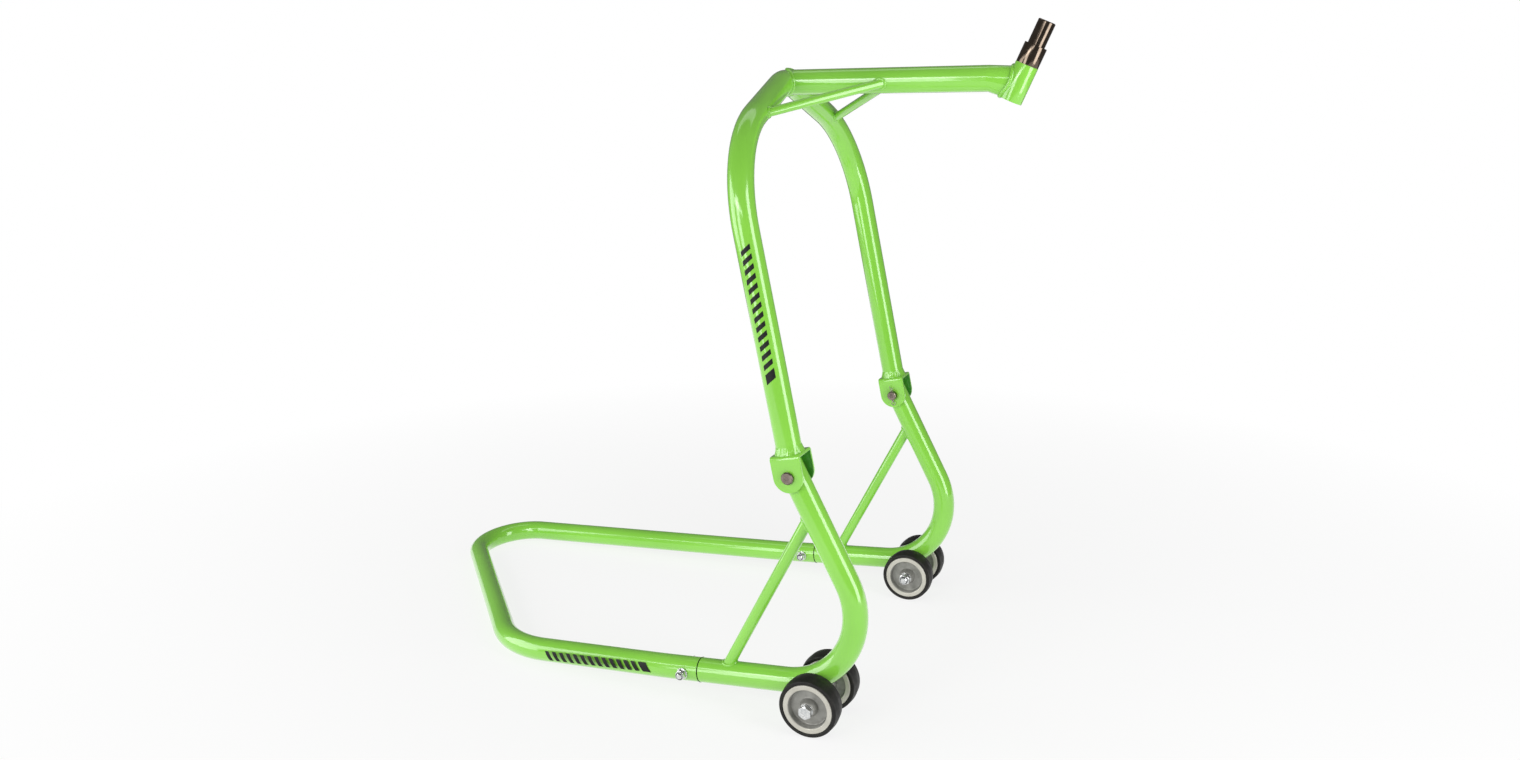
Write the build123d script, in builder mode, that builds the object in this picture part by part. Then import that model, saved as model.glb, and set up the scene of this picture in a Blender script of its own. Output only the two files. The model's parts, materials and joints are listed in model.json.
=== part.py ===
from build123d import *
from math import cos, radians, sin, tan
import os

os.makedirs("parts", exist_ok=True)

# A paddock stand that lifts a motorcycle by its steering stem.
# +X runs from the handle towards the wheels, +Y is the stand's left side, +Z is up from the floor.
# Lengths are in millimetres and angles in degrees.

# Main tube, braces and gusset rods
tube_d = 33.5
tube_wall = 2.0
tube_r = tube_d / 2
brace_d = 16.0
brace_wall = 2.0
rod_d = 12.0

# Where the wheel axle lies, and how far the side tubes stand from the middle
axle_x = 286.73
half_track = 225.0

# Wheels: a rubber tyre on a dished hub that turns on a sleeve bush
wheel_d = 80.0
wheel_w = 26.0
wheel_y = 36.0  # side tube's centre to the wheel's centre
tyre_crown = 1.2
tyre_shoulder = 4.0
rim_r = 33.5
rim_lip = 6.0
rim_taper = 1.0  # how far the lip's inner wall slopes in on its way down to the dish
dish_depth = 7.5
boss_r = 9.5
boss_root_r = 13.0
boss_w = 29.0
bush_r = 7.0
axle_r = 5.0
running_gap = 0.05

# Axle hardware, M10
axle_hex = 16.0
axle_head_h = 6.4
axle_nut_h = 10.0
axle_thread_past_nut = 3.0
axle_washer_r = 9.0
axle_washer_t = 1.6
sleeve_r = 8.5

# Side arm: a leg that rises gently, a large bend, and an inclined run up to the pivot
leg_rise = 3.86
leg_z = 53.0  # height of the leg's centre line, carried on to the axle
arm_bend_r = 104.0
arm_incline = 63.56
pivot_x = -30.0
pivot_z = 338.0
seam_x = -173.0
brace_foot_x = -139.0
brace_top_z = 289.5

# Handle: a loop of tube whose cross bar lies on the floor, with one leg longer than the other
right_corner_x = -502.5
right_corner_y = 212.7
left_corner_x = -891.0
left_corner_y = 199.0
straight_end = 60.0  # the straight stretch that the spigot fills
right_corner_r = 160.0
left_corner_r = 75.0
leg_ease_r = 400.0

# Handle joints, M8
spigot_length = 90.0
spigot_wall = 3.0
joint_bolt_back = 22.0  # bolt behind the seam
joint_bolt_r = 4.0
joint_hex = 13.0
joint_head_h = 5.3
joint_nut_h = 8.0
joint_thread_past_nut = 1.5
joint_washer_r = 8.0
joint_washer_t = 1.6

# Upper frame: an arch that leans back, and a boom from its crown
lean = 10.4
arch_shoulder_h = 413.4  # pivot to the shoulder's corner, along the arch
arch_crown_h = 498.9
arch_shoulder_r = 152.0
arch_crown_r = 78.0
boom_fall = 1.26
boom_flare = 26.0
boom_end_tall = 45.0
boom_end_wide = 22.0
rod_foot_y = {"right": 131.0, "left": 150.0}
rod_foot_drop = {"right": 45.0, "left": 54.0}  # crown down to the rod's foot, along the arch
rod_reach = 143.0  # crown to the rod's head, along the boom
rod_head_y = 11.0
rod_head_drop = 3.0

# Clevis: folded plate with two rounded ears
plate_t = 4.0
ear_w = 40.0
ear_gap = 35.0
web_top = 28.0
fold_r = 5.0
stop_gap = 0.3
bush_outer_r = 10.0
bush_side_gap = 0.4

# Clevis pin and its split pin
pin_r = 7.0
pin_head_r = 8.0
pin_head_h = 4.0
pin_tail = 8.0
pin_chamfer = 1.0
cotter_r = 1.4
cotter_hole_r = 1.6
cotter_up = 16.0
cotter_down = 10.0
cotter_eye_r = 3.0
cotter_wire_r = 1.0
cotter_y = 4.0

# Stem pin and the socket that holds it
rake = 24.9
socket_foot_x = 187.9
socket_foot_z = 788.5
socket_length = 48.0
socket_r = 15.0
shank_r = 11.0
shank_length = 44.0
collar_r = 14.75
collar_h = 25.0
tip_r = 11.25
tip_length = 31.5
tip_chamfer = 1.0

sides = {"right": -1, "left": 1}


def at(x, y, z):
    """A point from its distance ahead of the axle, across the stand and above the floor."""
    return Vector(axle_x + x, y, z)


def hexagon(across_flats):
    """The circumradius of a hexagon of that width across flats."""
    return across_flats / 2 / cos(radians(30))


def leg_height(x):
    """Height of a side arm's leg centre line."""
    return leg_z + x * tan(radians(leg_rise))


# Directions in the side view
leg_dir = Vector(cos(radians(leg_rise)), 0, sin(radians(leg_rise)))
arm_up = Vector(-cos(radians(arm_incline)), 0, sin(radians(arm_incline)))
arch_up = Vector(-sin(radians(lean)), 0, cos(radians(lean)))
arch_ahead = Vector(cos(radians(lean)), 0, sin(radians(lean)))
boom_dir = Vector(cos(radians(boom_fall)), 0, -sin(radians(boom_fall)))
stem_dir = Vector(sin(radians(rake)), 0, cos(radians(rake)))

# The corner where the leg's line meets the inclined line
incline_slope = tan(radians(arm_incline))
corner_x = (pivot_z - leg_z + incline_slope * pivot_x) / (tan(radians(leg_rise)) + incline_slope)
brace_top_x = pivot_x + (pivot_z - brace_top_z) / incline_slope


def pivot(side):
    """The centre of a side's clevis pin."""
    return at(pivot_x, side * half_track, pivot_z)


def arch_point(y, height):
    """A point in the leaning plane of the arch, by its distance up from the pivots."""
    return at(pivot_x, y, pivot_z) + arch_up * height


def clevis_plane(side):
    """Side view of a clevis: X ahead across the ear, Y up along the arch, from the pivot."""
    return Plane(origin=pivot(side), x_dir=arch_ahead, z_dir=(0, -1, 0))


def across(point, y=0.0):
    """A plane facing the stand's right side through a point, so sketches are extruded along -Y."""
    return Plane(origin=point + Vector(0, y, 0), x_dir=(1, 0, 0), z_dir=(0, -1, 0))


def straight_bar(start, end, radius, wall):
    """A straight round bar, or a tube when wall is more than nothing."""
    with BuildPart() as bar:
        with BuildSketch(Plane(origin=start, z_dir=end - start)):
            Circle(radius)
            if wall:
                Circle(radius - wall, mode=Mode.SUBTRACT)
        extrude(amount=(end - start).length)
    return bar.part


def finish(part, name):
    """Names a piece and writes its file."""
    part.label = name
    export_step(part, f"parts/{name}.step")


# Routes of the bent tubes

def arm_points(side):
    """Seam, corner and top of a side arm's centre line."""
    y = side * half_track
    top = pivot(side) + arm_up * (web_top + tube_r)
    return [at(seam_x, y, leg_height(seam_x)), at(corner_x, y, leg_height(corner_x)), top]


def handle_end(side):
    """Seam end of a handle leg, and the end of its straight stretch."""
    seam = at(seam_x, side * half_track, leg_height(seam_x))
    return seam, seam - leg_dir * straight_end


right_seam, right_ease = handle_end(sides["right"])
left_seam, left_ease = handle_end(sides["left"])
handle_route = [
    right_seam,
    right_ease,
    at(right_corner_x, -right_corner_y, tube_r),
    at(left_corner_x, left_corner_y, tube_r),
    left_ease,
    left_seam,
]
handle_radii = [leg_ease_r, right_corner_r, left_corner_r, leg_ease_r]
arch_route = [
    arch_point(-half_track, web_top),
    arch_point(-half_track, arch_shoulder_h),
    arch_point(0, arch_crown_h),
    arch_point(half_track, arch_shoulder_h),
    arch_point(half_track, web_top),
]
arch_radii = [arch_shoulder_r, arch_crown_r, arch_shoulder_r]


def bent_tube(points, radii, wall):
    """Main tube along a filleted route. Without a wall it is the solid that copes other tubes."""
    with BuildPart() as made:
        with BuildLine() as route:
            FilletPolyline(*points, radius=radii)
        with BuildSketch(Plane(origin=route.line @ 0, z_dir=route.line % 0)):
            Circle(tube_r)
            if wall:
                Circle(tube_r - wall, mode=Mode.SUBTRACT)
        sweep(path=route.line)
    return made.part


# Handle: the loop and its hidden spigots, bolts, nuts and washers

def bolt_centre(side):
    """Where a handle joint's bolt crosses the tube's centre line."""
    return at(seam_x, side * half_track, leg_height(seam_x)) - leg_dir * joint_bolt_back


with BuildPart() as handle_tube:
    add(bent_tube(handle_route, handle_radii, tube_wall))
    for side in sides.values():
        with BuildSketch(across(bolt_centre(side))):
            Circle(joint_bolt_r)
        extrude(amount=tube_d, both=True, mode=Mode.SUBTRACT)
finish(handle_tube.part, "handle_tube")

for name, side in sides.items():
    seam = at(seam_x, side * half_track, leg_height(seam_x))
    with BuildPart() as spigot:
        with BuildSketch(Plane(origin=seam - leg_dir * spigot_length / 2, z_dir=leg_dir)):
            Circle(tube_r - tube_wall)
            Circle(tube_r - tube_wall - spigot_wall, mode=Mode.SUBTRACT)
        extrude(amount=spigot_length)
        with BuildSketch(across(bolt_centre(side))):
            Circle(joint_bolt_r)
        extrude(amount=tube_d, both=True, mode=Mode.SUBTRACT)
    finish(spigot.part, f"{name}_spigot")

# The joint bolts' heads face the left on both sides, and their nuts face the right.
joint_face = tube_r + joint_washer_t
with BuildPart() as handle_bolts:
    for side in sides.values():
        centre = bolt_centre(side)
        with BuildSketch(across(centre, joint_face + joint_head_h)):
            RegularPolygon(hexagon(joint_hex), 6)
        extrude(amount=joint_head_h)
        with BuildSketch(across(centre, joint_face)):
            Circle(joint_bolt_r)
        extrude(amount=2 * joint_face + joint_nut_h + joint_thread_past_nut)
finish(handle_bolts.part, "handle_bolts")

with BuildPart() as handle_nuts:
    for side in sides.values():
        with BuildSketch(across(bolt_centre(side), -joint_face)):
            RegularPolygon(hexagon(joint_hex), 6)
            Circle(joint_bolt_r, mode=Mode.SUBTRACT)
        extrude(amount=joint_nut_h)
finish(handle_nuts.part, "handle_nuts")

with BuildPart() as handle_washers:
    for side in sides.values():
        for face in (joint_face, -tube_r):
            with BuildSketch(across(bolt_centre(side), face)):
                Circle(joint_washer_r)
                Circle(joint_bolt_r, mode=Mode.SUBTRACT)
            extrude(amount=joint_washer_t)
finish(handle_washers.part, "handle_washers")

# Side arms, with a notch for the axle sleeve, a hole for the pivot bush and a shaped top.
# In front of the pivot the top is flat and stops the clevis web; behind it is round, so the
# web can swing back over it.
stop_height = web_top - plate_t - stop_gap
top_margin = 3 * tube_d

for name, side in sides.items():
    with BuildPart() as arm_tube:
        add(bent_tube(arm_points(side), [arm_bend_r], tube_wall))
        with BuildSketch(clevis_plane(side)):
            with Locations((0, top_margin / 2)):
                Rectangle(2 * top_margin, top_margin)
            Circle(stop_height, mode=Mode.SUBTRACT)
            with Locations((tube_d, 0)):
                Rectangle(2 * tube_d, 2 * stop_height, mode=Mode.SUBTRACT)
        extrude(amount=tube_d, both=True, mode=Mode.SUBTRACT)
        with BuildSketch(clevis_plane(side)):
            Circle(bush_outer_r)
        extrude(amount=tube_d, both=True, mode=Mode.SUBTRACT)
        with BuildSketch(across(at(0, side * half_track, wheel_d / 2))):
            Circle(sleeve_r)
        extrude(amount=tube_d, both=True, mode=Mode.SUBTRACT)
    finish(arm_tube.part, f"{name}_arm_tube")

    foot = at(brace_foot_x, side * half_track, leg_height(brace_foot_x))
    top = at(brace_top_x, side * half_track, brace_top_z)
    with BuildPart() as arm_brace:
        add(straight_bar(foot, top, brace_d / 2, brace_wall))
        add(bent_tube(arm_points(side), [arm_bend_r], 0), mode=Mode.SUBTRACT)
    finish(arm_brace.part, f"{name}_arm_brace")

    with BuildPart() as pivot_bush:
        with BuildSketch(clevis_plane(side)):
            Circle(bush_outer_r)
            Circle(pin_r + running_gap, mode=Mode.SUBTRACT)
        extrude(amount=ear_gap / 2 - bush_side_gap, both=True)
    finish(pivot_bush.part, f"{name}_pivot_bush")

# Axles. Outwards from the arm: sleeve, thin washer, wheel, thin washer, then head or nut.
boss_inner = wheel_y - boss_w / 2
sleeve_half = boss_inner - axle_washer_t
axle_face = wheel_y + boss_w / 2 + axle_washer_t

for name, side in sides.items():
    axle = at(0, side * half_track, wheel_d / 2)
    with BuildPart() as axle_sleeve:
        with BuildSketch(across(axle)):
            Circle(sleeve_r)
            Circle(axle_r, mode=Mode.SUBTRACT)
        extrude(amount=sleeve_half, both=True)
    finish(axle_sleeve.part, f"{name}_axle_sleeve")

    outwards = Plane(origin=axle, x_dir=(1, 0, 0), z_dir=(0, side, 0))
    with BuildPart() as axle_bolt:
        with BuildSketch(outwards.offset(-axle_face - axle_nut_h - axle_thread_past_nut)):
            Circle(axle_r)
        extrude(amount=2 * axle_face + axle_nut_h + axle_thread_past_nut)
        with BuildSketch(outwards.offset(axle_face)):
            RegularPolygon(hexagon(axle_hex), 6)
        extrude(amount=axle_head_h)
    finish(axle_bolt.part, f"{name}_axle_bolt")

with BuildPart() as axle_nuts:
    for side in sides.values():
        inner_face = at(0, side * (half_track - axle_face), wheel_d / 2)
        with BuildSketch(Plane(origin=inner_face, x_dir=(1, 0, 0), z_dir=(0, -side, 0))):
            RegularPolygon(hexagon(axle_hex), 6)
            Circle(axle_r, mode=Mode.SUBTRACT)
        extrude(amount=axle_nut_h)
finish(axle_nuts.part, "axle_nuts")

with BuildPart() as axle_washers:
    for side in sides.values():
        for face in (axle_face, boss_inner, -sleeve_half, axle_washer_t - axle_face):
            with BuildSketch(across(at(0, side * half_track + face, wheel_d / 2))):
                Circle(axle_washer_r)
                Circle(axle_r, mode=Mode.SUBTRACT)
            extrude(amount=axle_washer_t)
finish(axle_washers.part, "axle_washers")


# Wheels. Each profile is drawn in radius and width, and turned about the axle.

def wheel_plane(side, end):
    """Plane whose X is the wheel's radius and whose Y runs along the axle from the wheel's middle."""
    centre = at(0, side * half_track + side * end * wheel_y, wheel_d / 2)
    return Plane(origin=centre, x_dir=(0, 0, 1), z_dir=(1, 0, 0))


half_w = wheel_w / 2
tyre_r = wheel_d / 2
for side_name, side in sides.items():
    for end_name, end in {"outer": 1, "inner": -1}.items():
        plane = wheel_plane(side, end)
        turning = Axis(plane.origin, (0, 1, 0))
        wheel = f"{side_name}_{end_name}"
        with BuildPart() as tyre:
            with BuildSketch(plane):
                with BuildLine():
                    Polyline(
                        (tyre_r - tyre_shoulder, half_w),
                        (rim_r, half_w),
                        (rim_r, -half_w),
                        (tyre_r - tyre_shoulder, -half_w),
                    )
                    low = RadiusArc(
                        (tyre_r - tyre_shoulder, -half_w),
                        (tyre_r - tyre_crown, tyre_shoulder - half_w),
                        -tyre_shoulder,
                    )
                    ThreePointArc(
                        low @ 1,
                        (tyre_r, 0),
                        (tyre_r - tyre_crown, half_w - tyre_shoulder),
                    )
                    RadiusArc(
                        (tyre_r - tyre_crown, half_w - tyre_shoulder),
                        (tyre_r - tyre_shoulder, half_w),
                        -tyre_shoulder,
                    )
                make_face()
            revolve(axis=turning)
        finish(tyre.part, f"{wheel}_tyre")

        dish = half_w - dish_depth
        with BuildPart() as hub:
            with BuildSketch(plane):
                with BuildLine():
                    Polyline(
                        (bush_r, -boss_w / 2),
                        (boss_r, -boss_w / 2),
                        (boss_root_r, -dish),
                        (rim_r - rim_lip - rim_taper, -dish),
                        (rim_r - rim_lip, -half_w),
                        (rim_r, -half_w),
                        (rim_r, half_w),
                        (rim_r - rim_lip, half_w),
                        (rim_r - rim_lip - rim_taper, dish),
                        (boss_root_r, dish),
                        (boss_r, boss_w / 2),
                        (bush_r, boss_w / 2),
                        close=True,
                    )
                make_face()
            revolve(axis=turning)
        finish(hub.part, f"{wheel}_hub")

        with BuildPart() as bush:
            with BuildSketch(across(plane.origin)):
                Circle(bush_r)
                Circle(axle_r + running_gap, mode=Mode.SUBTRACT)
            extrude(amount=boss_w / 2, both=True)
        finish(bush.part, f"{wheel}_bush")

# Upper frame: arch, boom, socket and gusset rods
with BuildPart() as arch_tube:
    add(bent_tube(arch_route, arch_radii, tube_wall))
finish(arch_tube.part, "arch_tube")

crown_slope = (arch_crown_h - arch_shoulder_h) / half_track
crown_height = arch_crown_h - arch_crown_r * ((1 + crown_slope**2) ** 0.5 - 1)
crown = arch_point(0, crown_height)

socket_foot = at(socket_foot_x, 0, socket_foot_z)
socket_top = socket_foot + stem_dir * socket_length

# Where the boom's axis crosses the socket's, and where the boom starts to change shape.
to_socket = socket_foot - crown
gap_across = to_socket.X * stem_dir.Z - to_socket.Z * stem_dir.X
boom_length = gap_across / (boom_dir.X * stem_dir.Z - boom_dir.Z * stem_dir.X)
flare_start = boom_length - boom_flare - socket_r


def boom_body(inset):
    """The boom's outer shape, drawn in by inset all round.

    Its last stretch is pressed from round into an oval as tall as the socket it is welded to.
    """
    round_end = Plane(origin=crown, x_dir=(0, 1, 0), z_dir=boom_dir)
    socket_middle = socket_foot + stem_dir * socket_length / 2
    oval_end = Plane(origin=socket_middle, x_dir=(0, 1, 0), z_dir=(stem_dir.Z, 0, -stem_dir.X))
    with BuildPart() as body:
        with BuildSketch(round_end):
            Circle(tube_r - inset)
        extrude(amount=flare_start)
        with BuildSketch(round_end.offset(flare_start)):
            Circle(tube_r - inset)
        with BuildSketch(oval_end):
            Ellipse(boom_end_wide / 2 - inset, boom_end_tall / 2 - inset)
        loft()
    return body.part


with BuildPart() as boom_tube:
    add(boom_body(0))
    add(straight_bar(socket_foot, socket_top, socket_r, 0), mode=Mode.SUBTRACT)
    add(bent_tube(arch_route, arch_radii, 0), mode=Mode.SUBTRACT)
    add(boom_body(tube_wall), mode=Mode.SUBTRACT)
finish(boom_tube.part, "boom_tube")

with BuildPart() as pin_socket:
    with BuildSketch(Plane(origin=socket_foot, z_dir=stem_dir)):
        Circle(socket_r)
        Circle(shank_r + running_gap, mode=Mode.SUBTRACT)
    extrude(amount=socket_length)
finish(pin_socket.part, "pin_socket")

for name, side in sides.items():
    foot = arch_point(side * rod_foot_y[name], crown_height - rod_foot_drop[name])
    head = crown + boom_dir * rod_reach + Vector(0, side * rod_head_y, -rod_head_drop)
    with BuildPart() as gusset_rod:
        add(straight_bar(foot, head, rod_d / 2, 0))
        add(bent_tube(arch_route, arch_radii, 0), mode=Mode.SUBTRACT)
        add(boom_body(0), mode=Mode.SUBTRACT)
    finish(gusset_rod.part, f"{name}_gusset_rod")

# Clevises on the arch's feet, with their pins and split pins
ear_y = ear_gap / 2 + plate_t
for name, side in sides.items():
    front = Plane(origin=pivot(side), x_dir=(0, 1, 0), z_dir=arch_ahead)
    with BuildPart() as clevis:
        with BuildSketch(front):
            with Locations((0, (web_top - ear_w / 2) / 2)):
                Rectangle(2 * ear_y, web_top + ear_w / 2)
            fillet(vertices().group_by(Axis.Y)[-1], fold_r)
            with Locations((0, (web_top - plate_t - ear_w / 2) / 2)):
                Rectangle(ear_gap, web_top - plate_t + ear_w / 2, mode=Mode.SUBTRACT)
        extrude(amount=ear_w / 2, both=True)
        with BuildSketch(clevis_plane(side)):
            Circle(ear_w / 2)
            with Locations((0, web_top / 2)):
                Rectangle(ear_w, web_top)
        extrude(amount=2 * ear_y, both=True, mode=Mode.INTERSECT)
        with BuildSketch(clevis_plane(side)):
            Circle(pin_r)
        extrude(amount=2 * ear_y, both=True, mode=Mode.SUBTRACT)
    finish(clevis.part, f"{name}_clevis")

    outwards = Plane(origin=pivot(side), x_dir=arch_ahead, z_dir=(0, side, 0))
    with BuildPart() as clevis_pin:
        with BuildSketch(outwards.offset(-ear_y - pin_tail)):
            Circle(pin_r)
        extrude(amount=2 * ear_y + pin_tail)
        with BuildSketch(outwards.offset(ear_y)):
            Circle(pin_head_r)
        extrude(amount=pin_head_h)
        chamfer(edges().filter_by(GeomType.CIRCLE).group_by(Axis.Y)[0], pin_chamfer)
        chamfer(edges().filter_by(GeomType.CIRCLE).group_by(Axis.Y)[-1], pin_chamfer)
        eye_side = outwards.offset(-ear_y - cotter_y)
        with BuildSketch(Plane(origin=eye_side.origin, z_dir=arch_up)):
            Circle(cotter_hole_r)
        extrude(amount=2 * pin_r, both=True, mode=Mode.SUBTRACT)
    finish(clevis_pin.part, f"{name}_clevis_pin")

    eye_centre = eye_side.origin - arch_up * (cotter_down + cotter_eye_r)
    with BuildPart() as cotter_pin:
        with BuildSketch(Plane(origin=eye_side.origin - arch_up * cotter_down, z_dir=arch_up)):
            Circle(cotter_r)
        extrude(amount=cotter_down + cotter_up)
        with BuildSketch(Plane(origin=eye_centre, x_dir=arch_ahead, z_dir=arch_up)):
            with Locations((cotter_eye_r, 0)):
                Circle(cotter_wire_r)
        revolve(axis=Axis(eye_centre, (0, 1, 0)))
    finish(cotter_pin.part, f"{name}_cotter_pin")

# The pin that goes up into the steering stem
with BuildPart() as stem_pin:
    with BuildSketch(Plane(origin=socket_top - stem_dir * shank_length, z_dir=stem_dir)):
        Circle(shank_r)
    extrude(amount=shank_length)
    with BuildSketch(Plane(origin=socket_top, z_dir=stem_dir)):
        Circle(collar_r)
    extrude(amount=collar_h)
    with BuildSketch(Plane(origin=socket_top + stem_dir * collar_h, z_dir=stem_dir)):
        Circle(tip_r)
    extrude(amount=tip_length)
    chamfer(edges().filter_by(GeomType.CIRCLE).sort_by(SortBy.DISTANCE)[-1], tip_chamfer)
finish(stem_pin.part, "stem_pin")
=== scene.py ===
import json
from math import cos, pi, radians, sin, tan

import bmesh
import bpy
from mathutils import Matrix, Vector, noise


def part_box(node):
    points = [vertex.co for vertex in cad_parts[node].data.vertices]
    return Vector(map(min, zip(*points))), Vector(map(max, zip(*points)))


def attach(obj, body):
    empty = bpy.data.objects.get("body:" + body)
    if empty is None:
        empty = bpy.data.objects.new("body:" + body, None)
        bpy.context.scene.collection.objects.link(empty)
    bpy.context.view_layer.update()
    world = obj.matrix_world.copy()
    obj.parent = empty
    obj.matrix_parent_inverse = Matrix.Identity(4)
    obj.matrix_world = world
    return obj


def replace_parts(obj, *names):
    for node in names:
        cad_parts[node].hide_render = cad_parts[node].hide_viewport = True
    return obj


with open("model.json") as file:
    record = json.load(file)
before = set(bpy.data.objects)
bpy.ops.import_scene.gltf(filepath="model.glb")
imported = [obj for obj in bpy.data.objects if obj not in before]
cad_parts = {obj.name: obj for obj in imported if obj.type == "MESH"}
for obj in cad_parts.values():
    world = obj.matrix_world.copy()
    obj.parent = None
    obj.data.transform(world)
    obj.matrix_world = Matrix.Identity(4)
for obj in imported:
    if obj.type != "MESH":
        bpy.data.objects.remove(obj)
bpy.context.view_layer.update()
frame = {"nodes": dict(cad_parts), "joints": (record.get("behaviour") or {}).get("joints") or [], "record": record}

# The paddock stand's looks: its own materials, and detailed pieces over the plain CAD solids.
# Everything is in metres in the CAD's frame: +X towards the wheels, +Y the stand's left, +Z up.

sides = {"right": -1, "left": 1}


def middle(node):
    """The middle of a CAD node's box."""
    low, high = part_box(node)
    return (low + high) / 2


hinge = next(j for j in frame["joints"] if j["name"] == "upper_frame_hinge")
pivot_x, _, pivot_z = hinge["pos_m"]
stem = frame["record"]["mounts"][0]
stem_dir = Vector(stem["axis"]).normalized()
lean = radians(10.4)
arch_up = Vector((-sin(lean), 0, cos(lean)))
arch_ahead = Vector((cos(lean), 0, sin(lean)))
tube_r = (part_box("right_arm_tube")[1].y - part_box("right_arm_tube")[0].y) / 2


# ---------- Materials ----------

class Look:
    """A procedural material under construction."""

    def __init__(self, name, **constants):
        self.material = bpy.data.materials.new(name)
        self.material.use_nodes = True
        self.tree = self.material.node_tree
        self.shader = self.tree.nodes["Principled BSDF"]
        for socket, value in constants.items():
            self.shader.inputs[socket.replace("_", " ")].default_value = value

    def add(self, kind, inputs=None, **settings):
        """A node, with its settings and its inputs, which are values or other nodes' outputs."""
        node = self.tree.nodes.new(kind)
        for name, value in settings.items():
            setattr(node, name, value)
        for name, value in (inputs or {}).items():
            if isinstance(value, bpy.types.NodeSocket):
                self.tree.links.new(value, node.inputs[name])
            else:
                node.inputs[name].default_value = value
        return node

    def place(self, centre=(0, 0, 0), turn=(0, 0, 0)):
        """Object coordinates about a centre, so a pattern stays on a piece that moves."""
        spot = self.add("ShaderNodeTexCoord").outputs["Object"]
        moved = self.add("ShaderNodeVectorMath", {0: spot, 1: centre}, operation="SUBTRACT")
        inputs = {"Vector": moved.outputs[0], "Rotation": turn}
        return self.add("ShaderNodeMapping", inputs).outputs["Vector"]

    def noise(self, scale, detail=3.0, roughness=0.5, vector=None):
        inputs = {"Scale": scale, "Detail": detail, "Roughness": roughness}
        inputs["Vector"] = vector or self.place()
        return self.add("ShaderNodeTexNoise", inputs).outputs["Fac"]

    def remap(self, value, low, high, start=0.3, end=0.7):
        """A value from start to end spread over low to high."""
        inputs = {"Value": value, "From Min": start, "From Max": end, "To Min": low, "To Max": high}
        return self.add("ShaderNodeMapRange", inputs).outputs["Result"]

    def blend(self, value, dark, light):
        """A colour between two, by a value from 0 to 1."""
        ramp = self.add("ShaderNodeValToRGB", {"Fac": value})
        ramp.color_ramp.elements[0].color = (*dark, 1)
        ramp.color_ramp.elements[1].color = (*light, 1)
        return ramp.outputs["Color"]

    def surface(self, colour=None, roughness=None):
        if colour is not None:
            self.tree.links.new(colour, self.shader.inputs["Base Color"])
        if roughness is not None:
            self.tree.links.new(roughness, self.shader.inputs["Roughness"])

    def bumps(self, layers):
        """Bump from (height, depth in metres, strength) layers, each laid over the last."""
        normal = None
        for height, depth, strength in layers:
            inputs = {"Height": height, "Distance": depth, "Strength": strength}
            if normal is not None:
                inputs["Normal"] = normal
            normal = self.add("ShaderNodeBump", inputs).outputs["Normal"]
        self.tree.links.new(normal, self.shader.inputs["Normal"])


def green_paint():
    """Lime powder coat: glossy, with a faint orange peel and cloudy thickness."""
    look = Look("green_powder_coat", Coat_Weight=1.0, Coat_Roughness=0.06, Coat_IOR=1.5)
    cloud = look.remap(look.noise(6.0, 2.0), 0, 1)
    look.surface(
        look.blend(cloud, (0.220, 0.590, 0.050), (0.262, 0.665, 0.068)),
        look.remap(look.noise(40.0, 3.0), 0.16, 0.24),
    )
    look.bumps([
        (look.noise(110.0, 1.0), 0.00002, 0.05),
        (look.noise(420.0, 2.0), 0.00001, 0.03),
    ])
    return look.material


def painted_shade_paint():
    """Painted shade: a darker, duller green on the inside of the clevis folds, where shade falls between the ears.
    It is a guess: it may only be shadow.
    """
    look = Look("painted_shade_powder_coat", Coat_Weight=0.5, Coat_Roughness=0.12, Coat_IOR=1.5)
    cloud = look.remap(look.noise(45.0, 3.0), 0, 1)
    look.surface(
        look.blend(cloud, (0.020, 0.190, 0.012), (0.055, 0.290, 0.022)),
        look.remap(look.noise(90.0, 3.0), 0.28, 0.42),
    )
    look.bumps([(look.noise(420.0, 3.0), 0.00003, 0.15)])
    return look.material


def joint_shadow():
    """Painted shadow: a dark ring for the shaded gap where two tubes butt."""
    look = Look("joint_shadow", Roughness=0.8, Specular_IOR_Level=0.1)
    look.surface(look.blend(look.noise(400.0), (0.004, 0.012, 0.002), (0.012, 0.030, 0.005)))
    return look.material


def decal_black():
    """Thin black vinyl."""
    look = Look("decal_vinyl", Specular_IOR_Level=0.25)
    look.surface(
        look.blend(look.noise(150.0), (0.006, 0.007, 0.006), (0.012, 0.013, 0.012)),
        look.remap(look.noise(700.0), 0.42, 0.55),
    )
    look.bumps([(look.noise(1500.0), 0.00002, 0.3)])
    return look.material


def tyre_rubber():
    """Solid black rubber, dull on the tread, with dust in its pores."""
    look = Look("tyre_rubber", Specular_IOR_Level=0.3)
    fine = look.noise(1200.0, 4.0)
    dust = look.remap(look.noise(90.0, 5.0, 0.65), 0, 1, 0.45, 0.75)
    look.surface(
        look.blend(dust, (0.008, 0.008, 0.007), (0.022, 0.020, 0.017)),
        look.remap(look.noise(140.0, 4.0), 0.42, 0.62),
    )
    look.bumps([(look.noise(300.0, 3.0), 0.0002, 0.25), (fine, 0.00006, 0.5)])
    return look.material


def cast_hub():
    """Grey cast centre of a wheel, with a fine sandy grain."""
    look = Look("cast_hub", Metallic=0.35)
    patch = look.remap(look.noise(70.0, 4.0, 0.6), 0, 1)
    look.surface(
        look.blend(patch, (0.22, 0.22, 0.20), (0.38, 0.377, 0.35)),
        look.remap(look.noise(220.0, 3.0), 0.38, 0.55),
    )
    look.bumps([(look.noise(500.0, 4.0), 0.00012, 0.45), (look.noise(1700.0), 0.00004, 0.5)])
    return look.material


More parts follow.
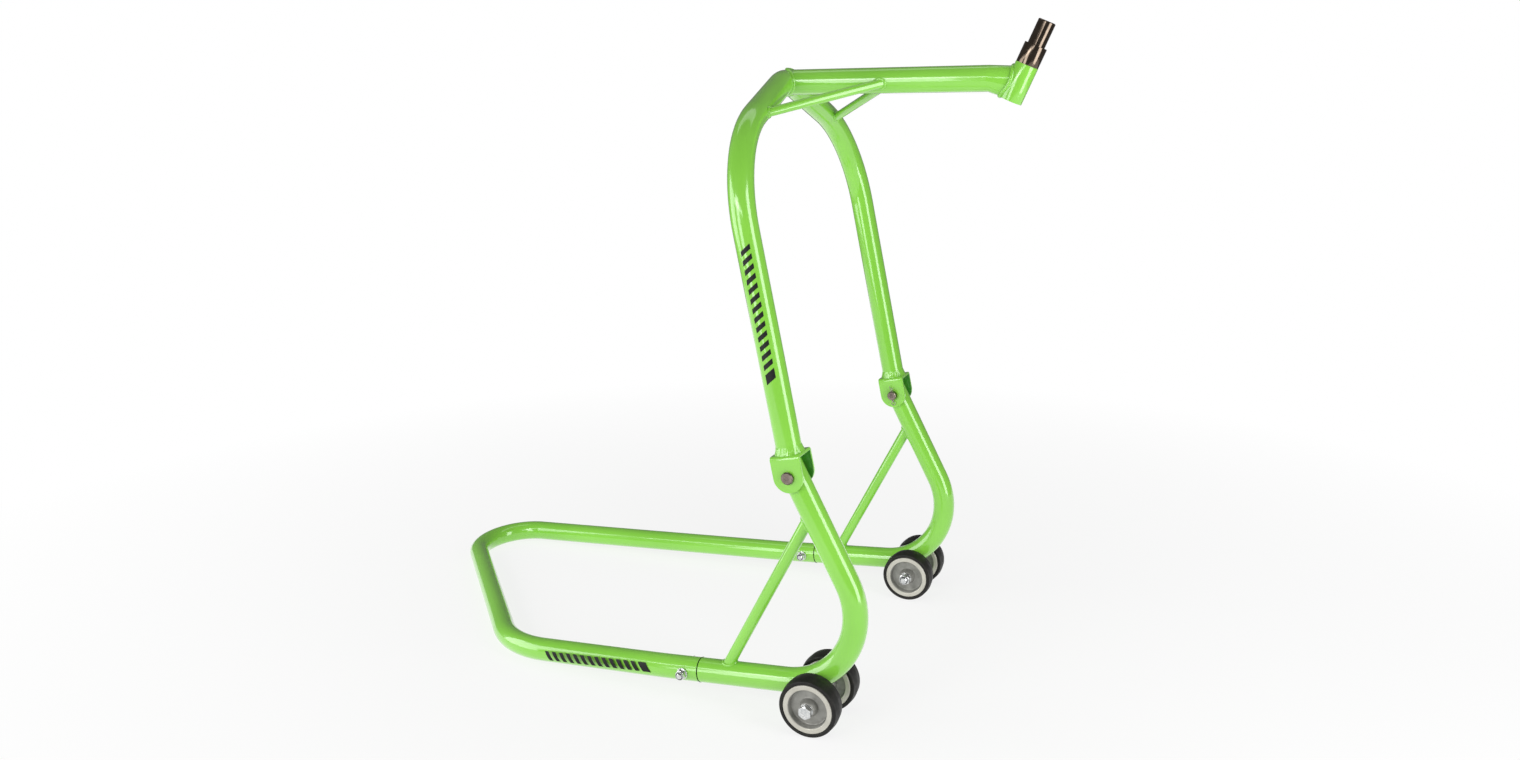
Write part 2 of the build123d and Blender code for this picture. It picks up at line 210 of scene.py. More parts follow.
def machined_rim():
    """Cream-grey face of a wheel's rim, turned, with a faint fine grain."""
    look = Look("machined_rim", Metallic=0.25)
    patch = look.remap(look.noise(55.0, 3.0), 0, 1)
    look.surface(
        look.blend(patch, (0.50, 0.485, 0.42), (0.60, 0.585, 0.52)),
        look.remap(look.noise(300.0), 0.30, 0.42),
    )
    look.bumps([(look.noise(1500.0, 2.0), 0.00003, 0.4)])
    return look.material


def zinc_plate():
    """Bright zinc on bolts, nuts and washers, slightly blue and cloudy."""
    look = Look("zinc_plate", Metallic=1.0)
    cloud = look.remap(look.noise(320.0, 3.0), 0, 1)
    look.surface(
        look.blend(cloud, (0.58, 0.595, 0.605), (0.82, 0.83, 0.82)),
        look.remap(look.noise(800.0, 3.0), 0.12, 0.24),
    )
    look.bumps([(look.noise(1400.0, 3.0), 0.00003, 0.15)])
    return look.material


def nylon_collar():
    """The dark nylon ring of a lock nut, and the wheels' bushes."""
    look = Look("nylon_collar", Subsurface_Weight=0.1, Subsurface_Radius=(0.001, 0.001, 0.001))
    look.surface(
        look.blend(look.noise(500.0), (0.012, 0.016, 0.022), (0.024, 0.030, 0.040)),
        look.remap(look.noise(900.0), 0.40, 0.55),
    )
    look.bumps([(look.noise(1800.0), 0.00003, 0.3)])
    return look.material


def turned_steel(name, axis, centre, dark, light, sheen, ringed=0.2):
    """Bare steel with turning marks that run round an axis."""
    look = Look(name, Metallic=1.0)
    tilt = Vector((0, 0, 1)).rotation_difference(Vector(axis)).inverted().to_euler()
    spot = look.place(centre, turn=tilt)
    x, y, z = look.add("ShaderNodeSeparateXYZ", {"Vector": spot}).outputs
    flat = look.add("ShaderNodeCombineXYZ", {"X": x, "Y": y}).outputs[0]
    radius = look.add("ShaderNodeVectorMath", {0: flat}, operation="LENGTH").outputs["Value"]
    groove = look.add("ShaderNodeMath", {0: z, 1: radius}, operation="ADD").outputs[0]
    line = look.add("ShaderNodeCombineXYZ", {"X": groove}).outputs[0]
    marks = look.noise(3500.0, 2.0, 0.6, line)
    stain = look.remap(look.noise(130.0, 4.0, 0.6), 0, 1)
    rings = look.remap(look.noise(900.0, 1.0, 0.5, line), -0.5, 0.5)
    tone = look.add("ShaderNodeMath", {0: rings, 1: ringed, 2: stain}, operation="MULTIPLY_ADD").outputs[0]
    look.surface(look.blend(tone, dark, light), look.remap(marks, *sheen))
    look.bumps([(marks, 0.00001, 0.10), (look.noise(400.0, 2.0), 0.00001, 0.05)])
    return look.material


pivot_line = (pivot_x, 0, pivot_z)
paint = green_paint()
painted_shade_coat = painted_shade_paint()
shadow_line = joint_shadow()
vinyl = decal_black()
rubber = tyre_rubber()
cast = cast_hub()
rim_face = machined_rim()
zinc = zinc_plate()
nylon = nylon_collar()
pin_steel = turned_steel(
    "clevis_pin_steel", (0, 1, 0), pivot_line,
    dark=(0.11, 0.091, 0.078), light=(0.30, 0.25, 0.215), sheen=(0.22, 0.44), ringed=1.0,
)
stem_steel = turned_steel(
    "stem_pin_steel", stem_dir, stem["pos_m"],
    dark=(0.115, 0.088, 0.066), light=(0.170, 0.135, 0.105), sheen=(0.10, 0.18),
)
wire_steel = turned_steel(
    "split_pin_steel", arch_up, pivot_line,
    dark=(0.22, 0.20, 0.18), light=(0.42, 0.38, 0.34), sheen=(0.25, 0.40),
)
bronze = turned_steel(
    "pivot_bush_bronze", (0, 1, 0), pivot_line,
    dark=(0.36, 0.22, 0.10), light=(0.52, 0.35, 0.17), sheen=(0.35, 0.50),
)

slot_looks = {
    "green_paint": paint,
    "tyre": rubber,
    "wheel_hub": cast,
    "nylon_bush": nylon,
    "bronze_bush": bronze,
    "zinc_hardware": zinc,
    "bare_steel": pin_steel,
    "polished_steel": stem_steel,
}
node_slot = {part["node"]: part["material_slot"] for part in frame["record"]["subparts"]}
for node, obj in frame["nodes"].items():
    obj.data.materials.clear()
    obj.data.materials.append(slot_looks[node_slot[node]])


# ---------- Mesh helpers ----------

def piece(name, shells, materials, body, sharp=35):
    """A mesh object from (vertices, faces, material number) shells, riding on a body."""
    mesh = bpy.data.meshes.new(name)
    verts, faces, numbers = [], [], []
    for shell_verts, shell_faces, number in shells:
        faces += [[i + len(verts) for i in face] for face in shell_faces]
        verts += shell_verts
        numbers += [number] * len(shell_faces)
    mesh.from_pydata([tuple(v) for v in verts], [], faces)
    mesh.polygons.foreach_set("material_index", numbers)
    made = bmesh.new()
    made.from_mesh(mesh)
    bmesh.ops.recalc_face_normals(made, faces=made.faces)
    made.to_mesh(mesh)
    made.free()
    for material in materials:
        mesh.materials.append(material)
    mesh.shade_smooth()
    mesh.set_sharp_from_angle(angle=radians(sharp))
    obj = bpy.data.objects.new(name, mesh)
    bpy.context.scene.collection.objects.link(obj)
    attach(obj, body)
    return obj


def skin(rings, capped=True, joined=False, number=0):
    """A shell through rings of points, with its ends capped, or joined in a loop."""
    count = len(rings[0])
    verts = [point for ring in rings for point in ring]
    faces = []
    steps = len(rings) if joined else len(rings) - 1
    for i in range(steps):
        here = i * count
        there = (i + 1) % len(rings) * count
        for j in range(count):
            k = (j + 1) % count
            faces.append([here + j, here + k, there + k, there + j])
    if capped and not joined:
        faces.append(list(range(count - 1, -1, -1)))
        faces.append([len(verts) - count + j for j in range(count)])
    return verts, faces, number


def along(origin, axis, ahead=(1, 0, 0)):
    """The matrix that puts a shape's +Z on an axis, and its +X near another direction."""
    z = Vector(axis).normalized()
    x = Vector(ahead)
    x = (x - z * x.dot(z)).normalized()
    return Matrix.Translation(origin) @ Matrix((x, z.cross(x), z)).transposed().to_4x4()


def moved(shell, matrix):
    verts, faces, number = shell
    return [matrix @ Vector(v) for v in verts], faces, number


def turned(radii_heights, segments=96, number=0, joined=False):
    """A shell of revolution about +Z, from (radius or function of the angle, height) points."""
    rings = []
    for radius, height in radii_heights:
        ring = []
        for i in range(segments):
            angle = 2 * pi * i / segments
            r = radius(angle) if callable(radius) else radius
            z = height(angle) if callable(height) else height
            ring.append(Vector((r * cos(angle), r * sin(angle), z)))
        rings.append(ring)
    return skin(rings, joined=joined, number=number)


def rounded(points, radius, steps=5):
    """A polyline with its inner corners rounded, as 2-D points."""
    out = [points[0]]
    for before, corner, after in zip(points, points[1:], points[2:]):
        b, c, a = Vector(before), Vector(corner), Vector(after)
        into, away = (c - b), (a - c)
        turn = into.angle(away)
        if turn < radians(3):
            out.append(corner)
            continue
        reach = min(radius * tan(turn / 2), 0.45 * into.length, 0.45 * away.length)
        start, end = c - into.normalized() * reach, c + away.normalized() * reach
        for i in range(steps + 1):
            t = i / steps
            out.append(tuple(start * (1 - t) ** 2 + c * 2 * t * (1 - t) + end * t ** 2))
    out.append(points[-1])
    return out


def tube_rings(path, radius, count=12, joined=False):
    """Rings of a round section along a path, kept from twisting. Radius may depend on (i, angle)."""
    rings = []
    normal = None
    for i, point in enumerate(path):
        before = path[i - 1] if joined or i else point
        after = path[(i + 1) % len(path)] if joined or i + 1 < len(path) else point
        tangent = (after - before).normalized()
        if normal is None:
            normal = tangent.orthogonal()
        normal = (normal - tangent * normal.dot(tangent)).normalized()
        side = tangent.cross(normal)
        ring = []
        for j in range(count):
            angle = 2 * pi * j / count
            r = radius(i, angle) if callable(radius) else radius
            ring.append(point + (normal * cos(angle) + side * sin(angle)) * r)
        rings.append(ring)
    return rings


# ---------- Welds, laid along the CAD nodes' own edges ----------

def merged(node, least):
    """A CAD node's mesh with its seams merged, and its edges sharper than an angle, in order."""
    made = bmesh.new()
    made.from_mesh(frame["nodes"][node].data)
    bmesh.ops.remove_doubles(made, verts=made.verts, dist=2e-6)
    sharp = [e for e in made.edges if len(e.link_faces) == 2 and e.calc_face_angle(0) > radians(least)]
    return made, sharp


def sharp_loops(node):
    """Closed loops of sharp edges of a CAD node, as lists of points. Every run starts at the same edges."""
    made, sharp = merged(node, 35)
    waiting = set(sharp)
    loops = []
    for first in sharp:
        if first not in waiting:
            continue
        waiting.remove(first)
        start, vert = first.verts
        chain = [start, vert]
        while vert != start:
            ahead = (chain[-1].co - chain[-2].co).normalized()
            options = [e for e in vert.link_edges if e in waiting]
            if not options:
                break
            edge = max(options, key=lambda e: ahead.dot((e.other_vert(vert).co - vert.co).normalized()))
            waiting.remove(edge)
            vert = edge.other_vert(vert)
            chain.append(vert)
        if vert == start:
            loops.append([v.co.copy() for v in chain[:-1]])
    made.free()
    return loops


def length_of(loop):
    return sum((a - b).length for a, b in zip(loop, loop[1:] + loop[:1]))


def outer_loops(node, near=None, reach=0.03, count=1):
    """The longest sharp loops of a node, about a point if one is given."""
    loops = sharp_loops(node)
    if near is not None:
        loops = [p for p in loops if (sum(p, Vector()) / len(p) - near).length < reach]
    return sorted(loops, key=length_of)[-count:]


def evenly(loop, step):
    """A closed loop's points again, a step apart."""
    total = length_of(loop)
    count = max(12, round(total / step))
    gap = total / count
    points = []
    walked = 0.0
    wanted = 0.0
    for a, b in zip(loop, loop[1:] + loop[:1]):
        run = (b - a).length
        while wanted < walked + run - 1e-12 and len(points) < count:
            points.append(a.lerp(b, (wanted - walked) / run))
            wanted += gap
        walked += run
    return points


weld_step = 0.0007
weld_pitch = 0.0026  # between the ripples of a bead


def weld(name, loop, size, body, seed):
    """A hand-laid bead: a rippled roll of metal along a closed loop."""
    path = evenly(loop, weld_step)
    for _ in range(3):
        path = [(path[i - 1] + path[i] * 2 + path[(i + 1) % len(path)]) / 4 for i in range(len(path))]
    ripples = max(3, round(len(path) * weld_step / weld_pitch))

    def radius(i, angle):
        phase = 2 * pi * ripples * i / len(path)
        wander = noise.noise(Vector((i * 0.09, seed, 0)))
        ripple = 0.03 * cos(phase + 0.9 * cos(angle) + wander)
        return size * (1 + ripple + 0.08 * wander)

    rings = tube_rings(path, radius, 14, joined=True)
    return piece(name, [skin(rings, joined=True)], [paint], body, 60)


def fillet(seed):
    """A hand-laid fillet round a tube that stands on a flat plate, at the origin."""
    def rim(lay):
        def radius(angle):
            wander = noise.noise(Vector((2.5 * cos(angle), 2.5 * sin(angle), seed)))
            ripple = cos(40 * angle + 5 * wander + 900 * lay)
            return tube_r + lay * (1 + 0.12 * wander) + min(lay, 0.001) * 0.14 * ripple
        return radius

    sunk = tube_r - 0.0008
    slope = [
        (0.0001, 0.0092), (0.0007, 0.0070), (0.0012, 0.0048),
        (0.0019, 0.0026), (0.0027, 0.0009), (0.0031, -0.0003),
    ]
    profile = [(sunk, 0.0094)] + [(rim(lay), height) for lay, height in slope]
    return turned(profile + [(sunk, -0.0003)], 240, joined=True)


brace_bead, rod_bead, sleeve_bead, boom_bead = 0.0021, 0.0020, 0.0014, 0.0027  # radii
web_top = 0.028  # the outside of a clevis web, above the pivot


for number, (side, sign) in enumerate(sides.items()):
    for end, loop in enumerate(outer_loops(f"{side}_arm_brace", count=2)):
        weld(f"{side}_brace_weld_{end}", loop, brace_bead, "base", 3 * number + end)
    for end, loop in enumerate(outer_loops(f"{side}_gusset_rod", count=2)):
        weld(f"{side}_rod_weld_{end}", loop, rod_bead, "upper_frame", 7 + 3 * number + end)
    axle = middle(f"{side}_axle_sleeve")
    for end in (-1, 1):
        face = axle + Vector((0, end * tube_r * 0.8, 0))
        for loop in outer_loops(f"{side}_arm_tube", face, 0.012):
            face_name = "outer" if end == sign else "inner"
            weld(f"{side}_sleeve_weld_{face_name}", loop, sleeve_bead, "base", 20 + end)
    foot = Vector((pivot_x, middle(f"{side}_clevis").y, pivot_z)) + arch_up * web_top
    shell = moved(fillet(30 + number), along(foot, arch_up))
    piece(f"{side}_clevis_weld", [shell], [paint], "upper_frame", 60)
for end, loop in enumerate(outer_loops("boom_tube", count=2)):
    weld(f"boom_weld_{end}", loop, boom_bead, "upper_frame", 40 + end)


# ---------- Fasteners ----------

def hex_radius(flats):
    """Distance from a hexagon's centre to its edge, as a function of the angle."""
    def radius(angle):
        return flats / 2 / cos((angle % (pi / 3)) - pi / 6)
    return radius


def chamfered(flats, height, both=False):
    """Heights of a hexagon's rim where a 30 degree cone trims its corners."""
    trim_r = flats * 0.475
    edge = hex_radius(flats)

    def drop(angle):
        return (edge(angle) - trim_r) * tan(radians(30))

    top = [(edge, lambda a: height - drop(a)), (trim_r, height)]
    low = [(trim_r, 0), (edge, lambda a: drop(a))] if both else [(edge, 0)]
    return low + top


def bolt_head(flats, height):
    """A forged hexagon head, with its rim trimmed and a shallow dish on top."""
    dish = [(flats * 0.36, height), (flats * 0.33, height - 0.0003), (flats * 0.02, height - 0.0004)]
    return turned(chamfered(flats, height) + dish, 144)


def lock_nut(flats, height, hole):
    """A nut with a crimped collar over a nylon ring. Returns its steel and its nylon."""
    hex_height = height * 0.68
    collar = flats * 0.46
    steel = turned(
        chamfered(flats, hex_height, both=True)
        + [(collar, hex_height + 0.0003)]
        + rounded([(collar, hex_height + 0.0004), (collar, height), (collar * 0.88, height)], 0.0012)
        + [(collar * 0.88, height - 0.0009), (hole, height - 0.0009), (hole, 0)],
        144,
        joined=True,
    )
    ring = turned(
        rounded([
            (hole, height - 0.0012), (hole, height - 0.0002),
            (collar * 0.88, height - 0.0004), (collar * 0.88, height - 0.0012),
        ], 0.0003),
        96, 1, joined=True,
    )
    return [steel, ring]


def thread(radius, pitch, start, end):
    """A threaded shank from one height to another, its far end chamfered."""
    count = round((end - start) / pitch * 10)
    depth = pitch * 0.5

    def wall(z):
        def at(angle):
            swing = abs((z / pitch - angle / (2 * pi)) % 1 * 2 - 1)
            trim = radius - max(0, z - (end - depth))
            return min(radius - depth * swing, trim)
        return at

    heights = [start + (end - start) * i / count for i in range(count + 1)]
    core = radius - 1.6 * depth
    tip = [(core, end), (core * 0.1, end - 0.00015)]
    return turned([(wall(z), z) for z in heights] + tip, 72)


def washer(outer, hole, thickness):
    """A flat washer with its punched edges rounded."""
    corners = [
        (hole, thickness / 2), (hole, 0), (outer, 0),
        (outer, thickness), (hole, thickness), (hole, thickness / 2),
    ]
    return turned(rounded(corners, 0.0004)[:-1], 96, joined=True)


axle_flats, axle_head, axle_nut, axle_pitch = 0.016, 0.0064, 0.010, 0.0015
joint_flats, joint_head, joint_nut, joint_pitch = 0.013, 0.0053, 0.008, 0.00125
washer_t, axle_washer_r, joint_washer_r = 0.0016, 0.009, 0.008
axle_past_nut, joint_past_nut = 0.003, 0.0015
axle_threaded, joint_threaded = 0.022, 0.016
axle_r, joint_r = 0.005, 0.004
wheel_y, boss_half = 0.036, 0.0145


def spanner_turn(angle):
    """Which way a hexagon's flat faces, about the Y axis."""
    return Vector((cos(angle), 0, sin(angle)))


def bolt(head, flats, head_h, radius, pitch, length, threaded, turn):
    """Shells of a hexagon bolt whose head stands on a seat. head is (seat, direction of the head)."""
    seat, out = head
    tip = seat - out * length
    return [
        moved(bolt_head(flats, head_h), along(seat, out, turn)),
        moved(turned([(radius, 0), (radius, length - threaded)], 48), along(seat, -out)),
        moved(thread(radius, pitch, -threaded, 0), along(tip, -out)),
    ]


nut_shells, washer_shells = [], []
for side, sign in sides.items():
    low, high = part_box(f"{side}_axle_bolt")
    centre = (low + high) / 2
    half = (high.y - low.y) / 2
    out = Vector((0, sign, 0))
    turn = spanner_turn(0.45 + sign)
    seat = centre + out * (half - axle_head)
    length = 2 * half - axle_head
    shells = bolt((seat, out), axle_flats, axle_head, axle_r, axle_pitch, length, axle_threaded, turn)
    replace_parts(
        piece(f"{side}_axle_bolt_detail", shells, [zinc], "base"), f"{side}_axle_bolt"
    )
    nut_seat = centre - out * (half - axle_past_nut - axle_nut)
    for shell in lock_nut(axle_flats, axle_nut, axle_r):
        nut_shells.append(moved(shell, along(nut_seat, -out, turn)))
    axle = middle(f"{side}_axle_sleeve")
    face = wheel_y + boss_half + washer_t
    for start in (face - washer_t, wheel_y - boss_half - washer_t, boss_half - wheel_y, -face):
        shell = washer(axle_washer_r, axle_r, washer_t)
        washer_shells.append(moved(shell, along(axle + Vector((0, start, 0)), (0, 1, 0))))
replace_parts(piece("axle_nut_detail", nut_shells, [zinc, nylon], "base"), "axle_nuts")
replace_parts(piece("axle_washer_detail", washer_shells, [zinc], "base"), "axle_washers")

# On both handle joints the heads face the stand's left and the nuts its right.
bolt_shells, nut_shells, washer_shells = [], [], []
joint_seat = middle("handle_bolts")
joint_face = Vector((0, tube_r + washer_t, 0))
left = Vector((0, 1, 0))
for side, sign in sides.items():
    centre = Vector((joint_seat.x, middle(f"{side}_arm_tube").y, joint_seat.z))
    turn = spanner_turn(0.2 + 0.5 * sign)
    length = 2 * joint_face.y + joint_nut + joint_past_nut
    head = (centre + joint_face, left)
    bolt_shells += bolt(head, joint_flats, joint_head, joint_r, joint_pitch, length, joint_threaded, turn)
    for shell in lock_nut(joint_flats, joint_nut, joint_r):
        nut_shells.append(moved(shell, along(centre - joint_face, -left, turn)))
    for out in (left, -left):
        shell = washer(joint_washer_r, joint_r, washer_t)
        washer_shells.append(moved(shell, along(centre + out * tube_r, out)))
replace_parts(piece("handle_bolt_detail", bolt_shells, [zinc], "base"), "handle_bolts")
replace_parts(piece("handle_nut_detail", nut_shells, [zinc, nylon], "base"), "handle_nuts")
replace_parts(piece("handle_washer_detail", washer_shells, [zinc], "base"), "handle_washers")


# ---------- Wheels ----------

def mirrored(half):
    """A closed profile from its half above the wheel's middle."""
    return half + [(r, -h) for r, h in reversed(half) if h > 0]


# Half sections of a wheel, as (radius, height over its middle).
tyre_half = rounded([
    (0.0336, 0.0), (0.0336, 0.0122), (0.0345, 0.0130),
    (0.0388, 0.0130), (0.0390, 0.0092), (0.0396, 0.0050),
], 0.0034, 9) + [(0.0399, 0.0022), (0.0400, 0.0004)]
cast_half = rounded([
    (0.0070, 0.0), (0.0070, 0.0145), (0.0098, 0.0145), (0.0125, 0.0045), (0.0250, 0.0040), (0.0262, 0.0116),
    (0.0272, 0.0124), (0.0272, 0.0),
], 0.0018, 8)
rim_half = rounded([
    (0.0268, 0.0), (0.0268, 0.0125), (0.0276, 0.0130), (0.0328, 0.0130), (0.0334, 0.0124), (0.0334, 0.0),
], 0.0005, 4)
for side, sign in sides.items():
    for end in ("outer", "inner"):
        wheel = f"{side}_{end}"
        seat = along(middle(f"{wheel}_tyre"), (0, sign, 0))
        tyre = moved(turned(mirrored(tyre_half), 160, joined=True), seat)
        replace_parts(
            piece(f"{wheel}_tyre_detail", [tyre], [rubber], f"{wheel}_wheel", 28), f"{wheel}_tyre"
        )
        shells = [
            moved(turned(mirrored(cast_half), 128, 0, joined=True), seat),
            moved(turned(mirrored(rim_half), 128, 1, joined=True), seat),
        ]
        hub = piece(f"{wheel}_hub_detail", shells, [cast, rim_face], f"{wheel}_wheel", 28)
        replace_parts(hub, f"{wheel}_hub")


# ---------- Softened CAD solids, split pins, joint lines and decals ----------

def softened(node, width, material, body):
    """A copy of a CAD solid with its sharp edges broken, shown in its place."""
    made, edges = merged(node, 30)
    bmesh.ops.bevel(
        made, geom=edges, offset=width, segments=3, profile=0.5, affect="EDGES", clamp_overlap=True
    )
    mesh = bpy.data.meshes.new(f"{node}_detail")
    made.to_mesh(mesh)
    made.free()
    mesh.materials.append(material)
    mesh.shade_smooth()
    mesh.set_sharp_from_angle(angle=radians(40))
    obj = bpy.data.objects.new(f"{node}_detail", mesh)
    bpy.context.scene.collection.objects.link(obj)
    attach(obj, body)
    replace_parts(obj, node)
    return obj


plate_t, ear_gap, margin = 0.004, 0.035, 0.0003
for side in sides:
    clevis = softened(f"{side}_clevis", 0.0004, paint, "upper_frame")
    clevis.data.materials.append(painted_shade_coat)
    pivot = Vector((pivot_x, middle(f"{side}_clevis").y, pivot_z))
    # Faces between the ears and below the web get the darker green: painted shade inside the fold.
    for face in clevis.data.polygons:
        spot = face.center - pivot
        between_ears = abs(spot.y) < ear_gap / 2 + margin
        if between_ears and spot.dot(arch_up) < web_top + margin - plate_t:
            face.material_index = 1
softened("pin_socket", 0.0005, paint, "upper_frame")
softened("stem_pin", 0.0006, stem_steel, "removable_pin")

eye_r, wire_r, leg = 0.0027, 0.00068, 0.00070  # a split pin's eye, its wire, and half its legs' spacing
bent_leg, straight_leg, neck, eye_at = 0.0155, 0.0130, 0.0100, 0.0128  # distances along it from the hole
for side in sides:
    hole = Vector((pivot_x, middle(f"{side}_cotter_pin").y, pivot_z))
    path = []
    for i in range(13):
        t = 1 - i / 12
        path.append(hole + arch_up * (bent_leg * t) - arch_ahead * (leg + 0.0012 * max(0, t - 0.5)))
    for i in range(1, 6):
        path.append(hole - arch_up * (neck * i / 5) - arch_ahead * leg)
    for i in range(1, 24):
        angle = radians(105 + 330 * i / 24)
        path.append(hole - arch_up * eye_at + (arch_ahead * cos(angle) + arch_up * sin(angle)) * eye_r)
    for i in range(6):
        path.append(hole - arch_up * (neck * (1 - i / 5)) + arch_ahead * leg)
    for i in range(1, 11):
        t = i / 10
        path.append(hole + arch_up * (straight_leg * t) + arch_ahead * (leg + 0.0020 * t * t * t))
    shell = skin(tube_rings(path, wire_r, 14))
    wire = piece(f"{side}_split_pin", [shell], [wire_steel], "upper_frame", 60)
    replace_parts(wire, f"{side}_cotter_pin")

leg_slope, seam_z, line_r = radians(3.86), 0.0413, 0.00095
leg_dir = Vector((cos(leg_slope), 0, sin(leg_slope)))
for side in sides:
    seam_x = (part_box("handle_tube")[1].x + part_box(f"{side}_arm_tube")[0].x) / 2
    seam = Vector((seam_x, middle(f"{side}_arm_tube").y, seam_z))
    across = leg_dir.cross(Vector((0, 1, 0)))
    loop = []
    for i in range(120):
        angle = 2 * pi * i / 120
        loop.append(seam + (Vector((0, 1, 0)) * cos(angle) + across * sin(angle)) * (tube_r - 0.0005))
    # A thin dark ring round the butt joint: painted shadow of the gap between the tubes.
    ring = skin(tube_rings(loop, line_r, 10, joined=True), joined=True)
    piece(f"{side}_joint_line", [ring], [shadow_line], "base", 60)


def bar_on_tube(origin, axis, face, start, width, slant, half_height):
    """A slanted bar that wraps a tube: its start and width along the axis, its height round the tube."""
    around = Vector(axis).cross(Vector(face))
    rows, columns = 4, 12
    layers = []
    for lift in (0.00012, -0.0002):
        points = []
        for j in range(columns + 1):
            arc = half_height * (2 * j / columns - 1)
            angle = arc / tube_r
            for i in range(rows + 1):
                run = start + width * i / rows + slant * arc
                out = Vector(face) * cos(angle) + around * sin(angle)
                points.append(Vector(origin) + Vector(axis) * run + out * (tube_r + lift))
        layers.append(points)
    size = (rows + 1) * (columns + 1)
    faces = []
    for j in range(columns):
        for i in range(rows):
            a = j * (rows + 1) + i
            quad = [a, a + 1, a + rows + 2, a + rows + 1]
            faces.append(quad)
            faces.append([v + size for v in reversed(quad)])
    edge = list(range(rows + 1))
    edge += [j * (rows + 1) + rows for j in range(1, columns + 1)]
    edge += [columns * (rows + 1) + i for i in range(rows - 1, -1, -1)]
    edge += [j * (rows + 1) for j in range(columns - 1, 0, -1)]
    for a, b in zip(edge, edge[1:] + edge[:1]):
        faces.append([b, a, a + size, b + size])
    return layers[0] + layers[1], faces, 0


first_bar, bar, bar_gap, slant, bar_half_height = 0.0125, 0.0064, 0.0055, 0.6, 0.0068


def stripes(name, origin, axis, face, start, end, body):
    """A row of slanted bars, the first one wider, between two places along a tube."""
    shells = []
    run = start
    width = first_bar
    while run + width <= end:
        shells.append(bar_on_tube(origin, axis, face, run, width, slant, bar_half_height))
        run += width + bar_gap
        width = bar
    return piece(name, shells, [vinyl], body, 50)


near_y = middle("right_arm_tube").y
near_face = Vector((sin(radians(5)), -cos(radians(5)), 0))
stripes(
    "upright_stripes", (pivot_x, near_y, pivot_z), arch_up,
    (near_face - arch_up * near_face.dot(arch_up)).normalized(), start=0.123, end=0.294, body="upper_frame",
)
leg_face = Vector((0, -cos(radians(8)), sin(radians(8))))
leg_face = (leg_face - leg_dir * leg_face.dot(leg_dir)).normalized()
leg_origin = Vector((seam_x, near_y, seam_z))
stripes("handle_stripes", leg_origin, -leg_dir, leg_face, start=0.076, end=0.245, body="base")


# ---------- Camera, floor and light ----------

camera_data = bpy.data.cameras.new("camera")
camera_data.sensor_width = 36
camera_data.lens = 26.56
camera = bpy.data.objects.new("camera", camera_data)
bpy.context.scene.collection.objects.link(camera)
bpy.context.scene.camera = camera
axle_x = middle("right_axle_sleeve").x
camera_ahead, camera_side, camera_height = 0.4793, -1.4798, 0.7734  # from the axle on the floor
yaw, pitch, roll = radians(23.764), radians(13.031), radians(-1.699)
ahead = Vector((-sin(yaw) * cos(pitch), cos(yaw) * cos(pitch), -sin(pitch)))
level = Vector((cos(yaw), sin(yaw), 0))
rise = level.cross(ahead)
camera_right = level * cos(roll) + rise * sin(roll)
camera_up = rise * cos(roll) - level * sin(roll)
facing = Matrix((camera_right, camera_up, -ahead)).transposed().to_4x4()
camera.matrix_world = Matrix.Translation((axle_x + camera_ahead, camera_side, camera_height)) @ facing

around = [Vector((cos(2 * pi * i / 64), sin(2 * pi * i / 64), 0)) for i in range(64)]
verts, faces, _ = skin([[way * radius for way in around] for radius in (0.001, 0.7, 1.4, 2.1)], capped=False)
floor_mesh = bpy.data.meshes.new("floor")
floor_mesh.from_pydata(verts, [], faces)
floor = bpy.data.objects.new("floor", floor_mesh)
bpy.context.scene.collection.objects.link(floor)
sheet = Look("pale_floor", Roughness=0.9, Specular_IOR_Level=0.1)
grain = sheet.noise(3.0, 2.0)
spot = sheet.add("ShaderNodeVectorMath", {0: sheet.place()}, operation="LENGTH").outputs["Value"]
sheet.surface(sheet.blend(grain, (0.90, 0.90, 0.89), (0.93, 0.93, 0.92)))
glow = sheet.add("ShaderNodeEmission", {"Color": (1, 1, 1, 1), "Strength": 1.0}).outputs[0]
fade = sheet.remap(spot, 0.82, 1, start=0.4, end=1.7)
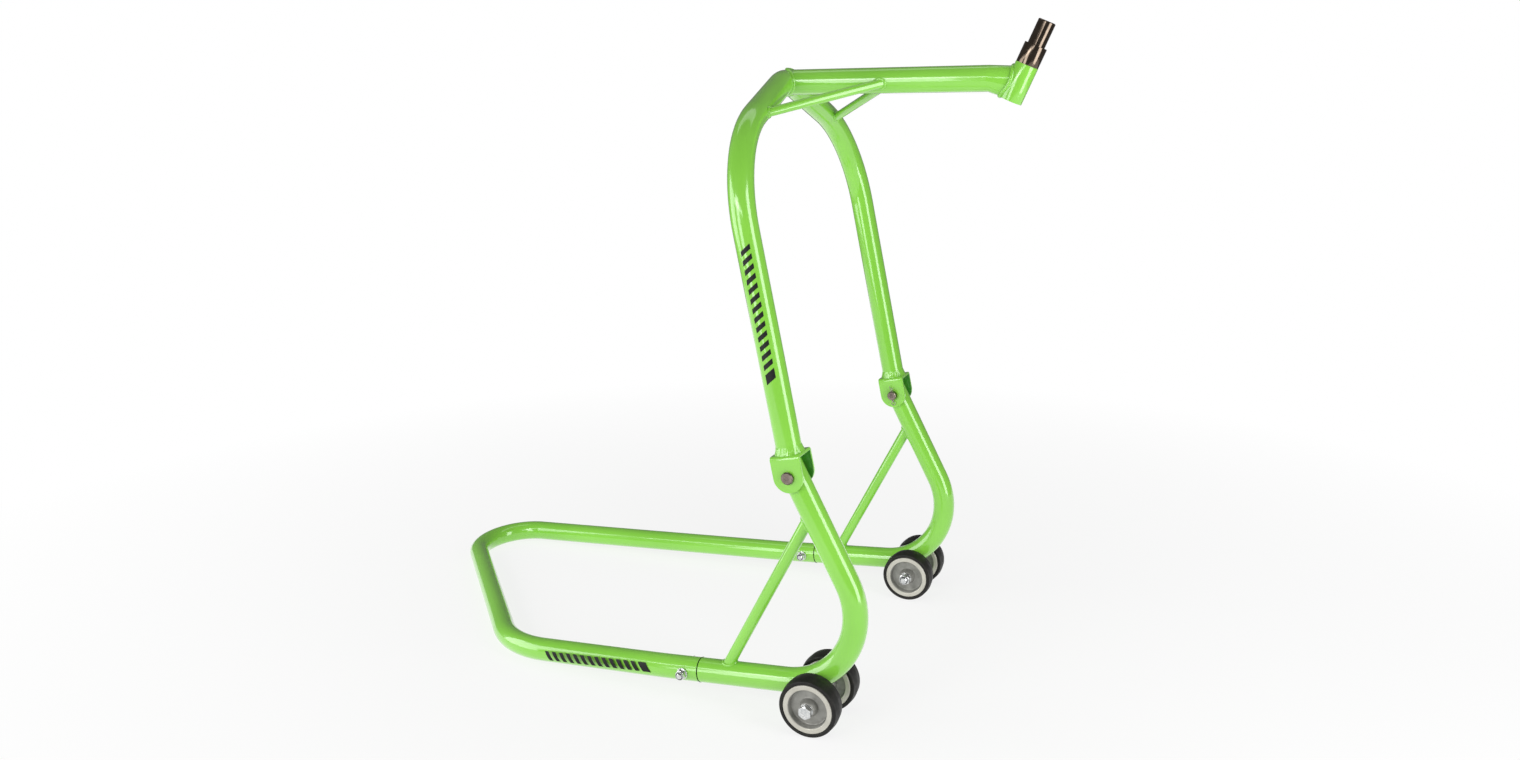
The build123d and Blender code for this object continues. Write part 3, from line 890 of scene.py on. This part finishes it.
mix = sheet.add("ShaderNodeMixShader", {0: fade, 1: sheet.shader.outputs[0], 2: glow})
sheet.tree.links.new(mix.outputs[0], sheet.tree.nodes["Material Output"].inputs["Surface"])
floor_mesh.materials.append(sheet.material)

world = bpy.data.worlds.new("studio")
bpy.context.scene.world = world
world.use_nodes = True
tree = world.node_tree
room = tree.nodes["Background"]
room.inputs["Color"].default_value = (1, 1, 1, 1)
room.inputs["Strength"].default_value = 0.17
seen = tree.nodes.new("ShaderNodeBackground")
seen.inputs["Color"].default_value = (1, 1, 1, 1)
ray = tree.nodes.new("ShaderNodeLightPath")
choice = tree.nodes.new("ShaderNodeMixShader")
tree.links.new(ray.outputs["Is Camera Ray"], choice.inputs[0])
tree.links.new(room.outputs[0], choice.inputs[1])
tree.links.new(seen.outputs[0], choice.inputs[2])
tree.links.new(choice.outputs[0], tree.nodes["World Output"].inputs["Surface"])


def softbox(name, place, target, wide, tall, radiance):
    """An area light of a given brightness, facing a point."""
    data = bpy.data.lights.new(name, "AREA")
    data.shape = "RECTANGLE"
    data.size = wide
    data.size_y = tall
    data.energy = radiance * pi * wide * tall
    light = bpy.data.objects.new(name, data)
    bpy.context.scene.collection.objects.link(light)
    toward = (Vector(target) - Vector(place)).normalized()
    light.matrix_world = along(place, -toward, Vector((0, 0, 1)).cross(toward))
    return light


near_upright = Vector((0.19, -0.225, 0.6))
softbox("right_softbox", (1.50, -0.46, 0.76), near_upright, wide=0.60, tall=1.45, radiance=5.2)
softbox("left_softbox", (-0.46, -1.95, 0.82), (0.1, -0.2, 0.45), wide=0.75, tall=1.4, radiance=4.3)
softbox("strip_light", (-0.30, -2.05, 1.32), (0.25, 0.0, 0.8), wide=2.2, tall=0.22, radiance=4.8)
softbox("left_fill", (-2.0, -1.1, 0.8), (0.0, -0.1, 0.3), wide=1.7, tall=1.5, radiance=3.2)
softbox("top_softbox", (-0.1, 0.5, 2.4), (0.0, 0.1, 0.2), wide=2.4, tall=0.5, radiance=1.0)

scene = bpy.context.scene
scene.view_settings.view_transform = "Standard"
